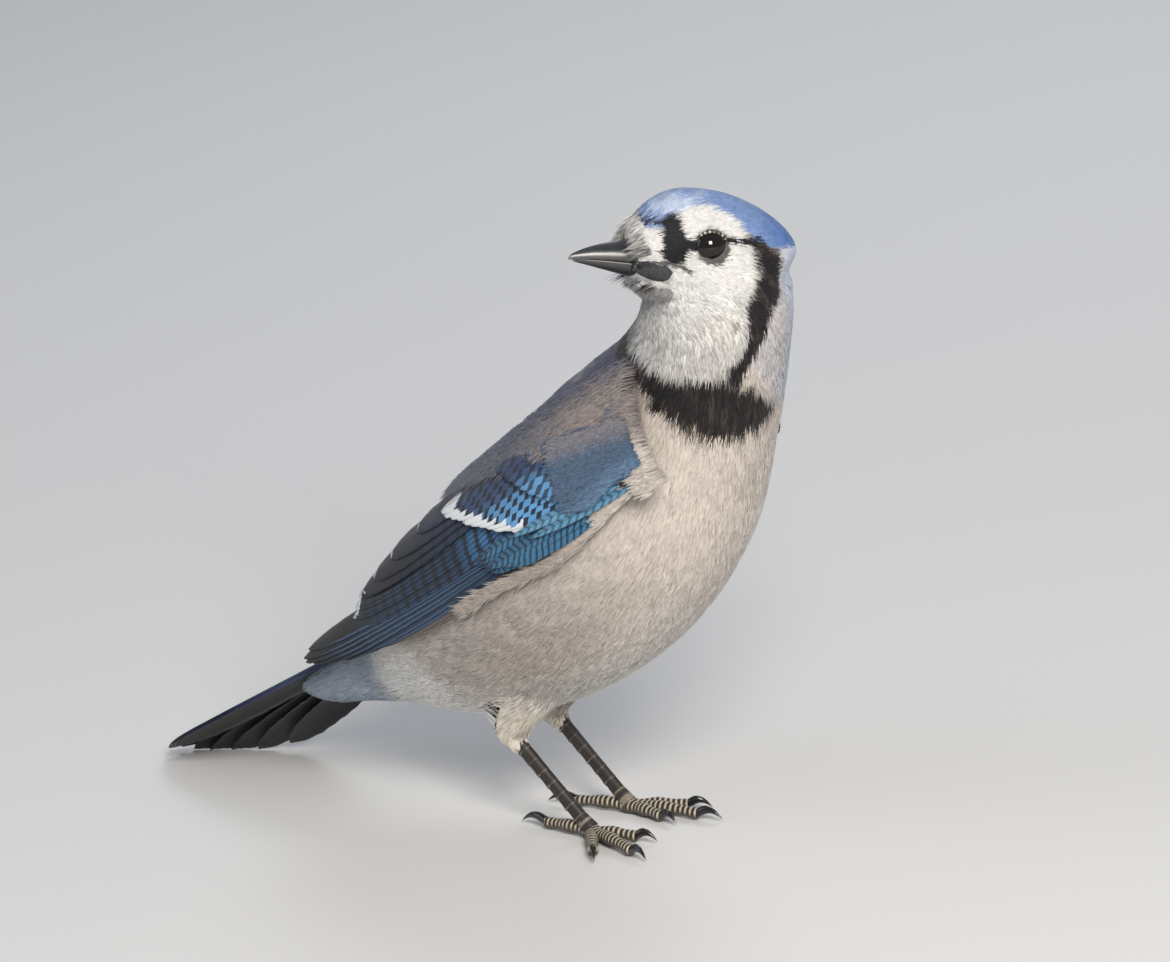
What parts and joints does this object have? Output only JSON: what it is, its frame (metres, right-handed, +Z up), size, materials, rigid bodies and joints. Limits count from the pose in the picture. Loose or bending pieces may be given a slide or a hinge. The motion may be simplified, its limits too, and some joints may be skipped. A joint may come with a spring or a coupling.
{
  "type": "perched blue jay model",
  "caption": "Life-size still model of a crested songbird with folded wings and a long tail, looking back over its right shoulder, for display.",
  "frame": {"origin": "bottom centre of the whole model's bounding box, on the floor it stands on", "axes": "+X from the tail towards the breast, +Y towards the bird's left, +Z up; the bird's body faces +X and its head is turned back over its right shoulder"},
  "size_m": [0.2026, 0.0664, 0.1634],
  "materials": {
    "breast": "soft pale grey-buff feathers, whiter towards the vent",
    "nape": "soft grey-blue feathers with a black collar",
    "face": "short white face feathers under a lavender-blue crown and crest",
    "bill": "charcoal-black horn with a soft sheen",
    "eye": "wet dark brown, almost black",
    "wing": "blue flight feathers with fine black bars and white tips",
    "tail": "blue vanes barred with black above, blackish below",
    "leg": "blackish scales with pale edges",
    "claw": "glossy black horn with paler tips"
  },
  "bodies": {
    "root": {"head": "face", "neck": "nape", "bill_upper": "bill", "bill_lower": "bill", "eye_left": "eye", "eye_right": "eye", "torso": "breast", "thigh_right": "breast", "thigh_left": "breast", "shank_right": "leg", "shank_left": "leg", "foot_right": "leg", "foot_left": "leg", "claw_right_1": "claw", "claw_right_2": "claw", "claw_right_3": "claw", "claw_right_4": "claw", "claw_left_1": "claw", "claw_left_2": "claw", "claw_left_3": "claw", "claw_left_4": "claw", "tail": "tail", "wing_right": "wing", "wing_left": "wing"}
  },
  "joints": []
}
